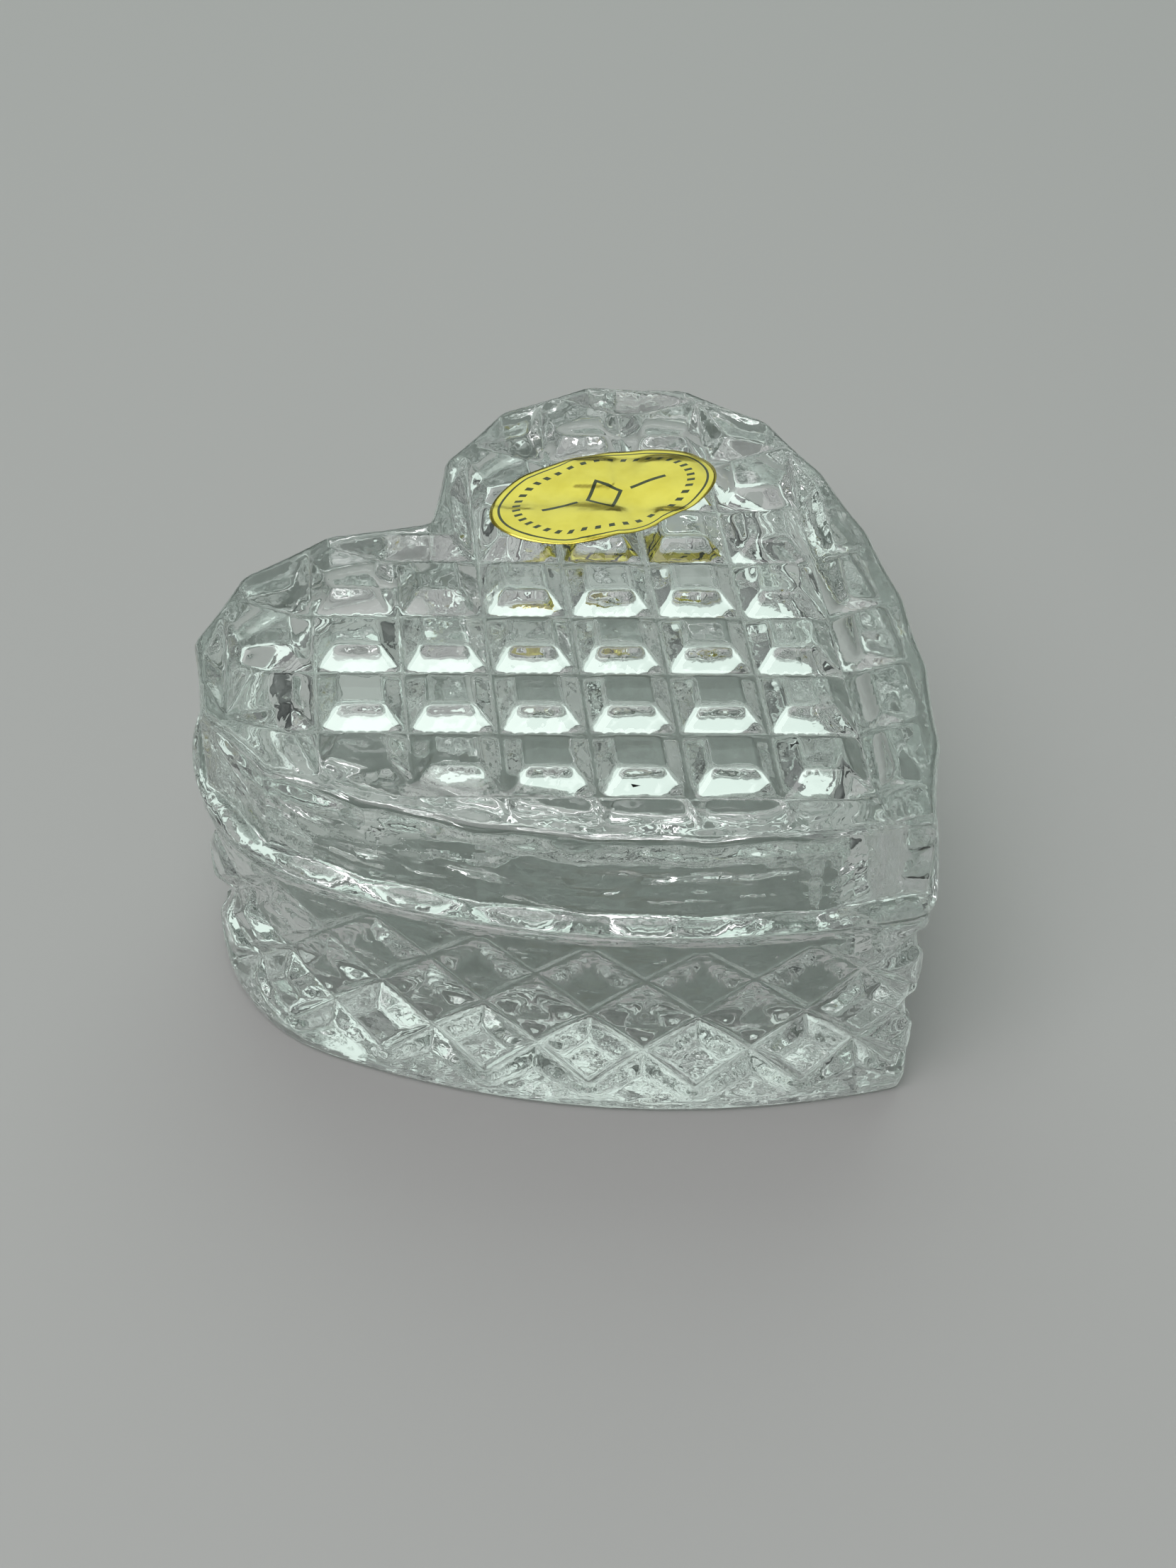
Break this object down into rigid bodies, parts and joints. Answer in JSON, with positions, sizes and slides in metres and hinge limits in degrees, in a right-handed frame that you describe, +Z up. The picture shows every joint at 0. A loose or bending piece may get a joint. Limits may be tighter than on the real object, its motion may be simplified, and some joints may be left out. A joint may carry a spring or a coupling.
{
  "type": "heart-shaped trinket box",
  "caption": "Heart-shaped cut-crystal trinket box: deep dish with criss-cross diamond cuts and a loose lift-off lid with a square-cut top, faceted wall and oval gold foil label.",
  "frame": {"origin": "centre of the bounding box on the surface that the dish stands on", "axes": "+Z up, tip of the heart towards -Y, cleft towards +Y, +X across the two lobes"},
  "size_m": [0.0884, 0.0864, 0.0452],
  "materials": {
    "crystal": "polished lead crystal, clear with a faint pale green cast",
    "gold_foil": "bright yellow-gold foil, slightly wrinkled"
  },
  "bodies": {
    "dish": {"dish": "crystal"},
    "lid": {"lid": "crystal", "foil_label": "gold_foil"}
  },
  "joints": [
    {"name": "lid_lift", "type": "slide", "parent": "dish", "child": "lid", "axis": [0, 0, 1], "range_m": [0, 0.06]}
  ]
}
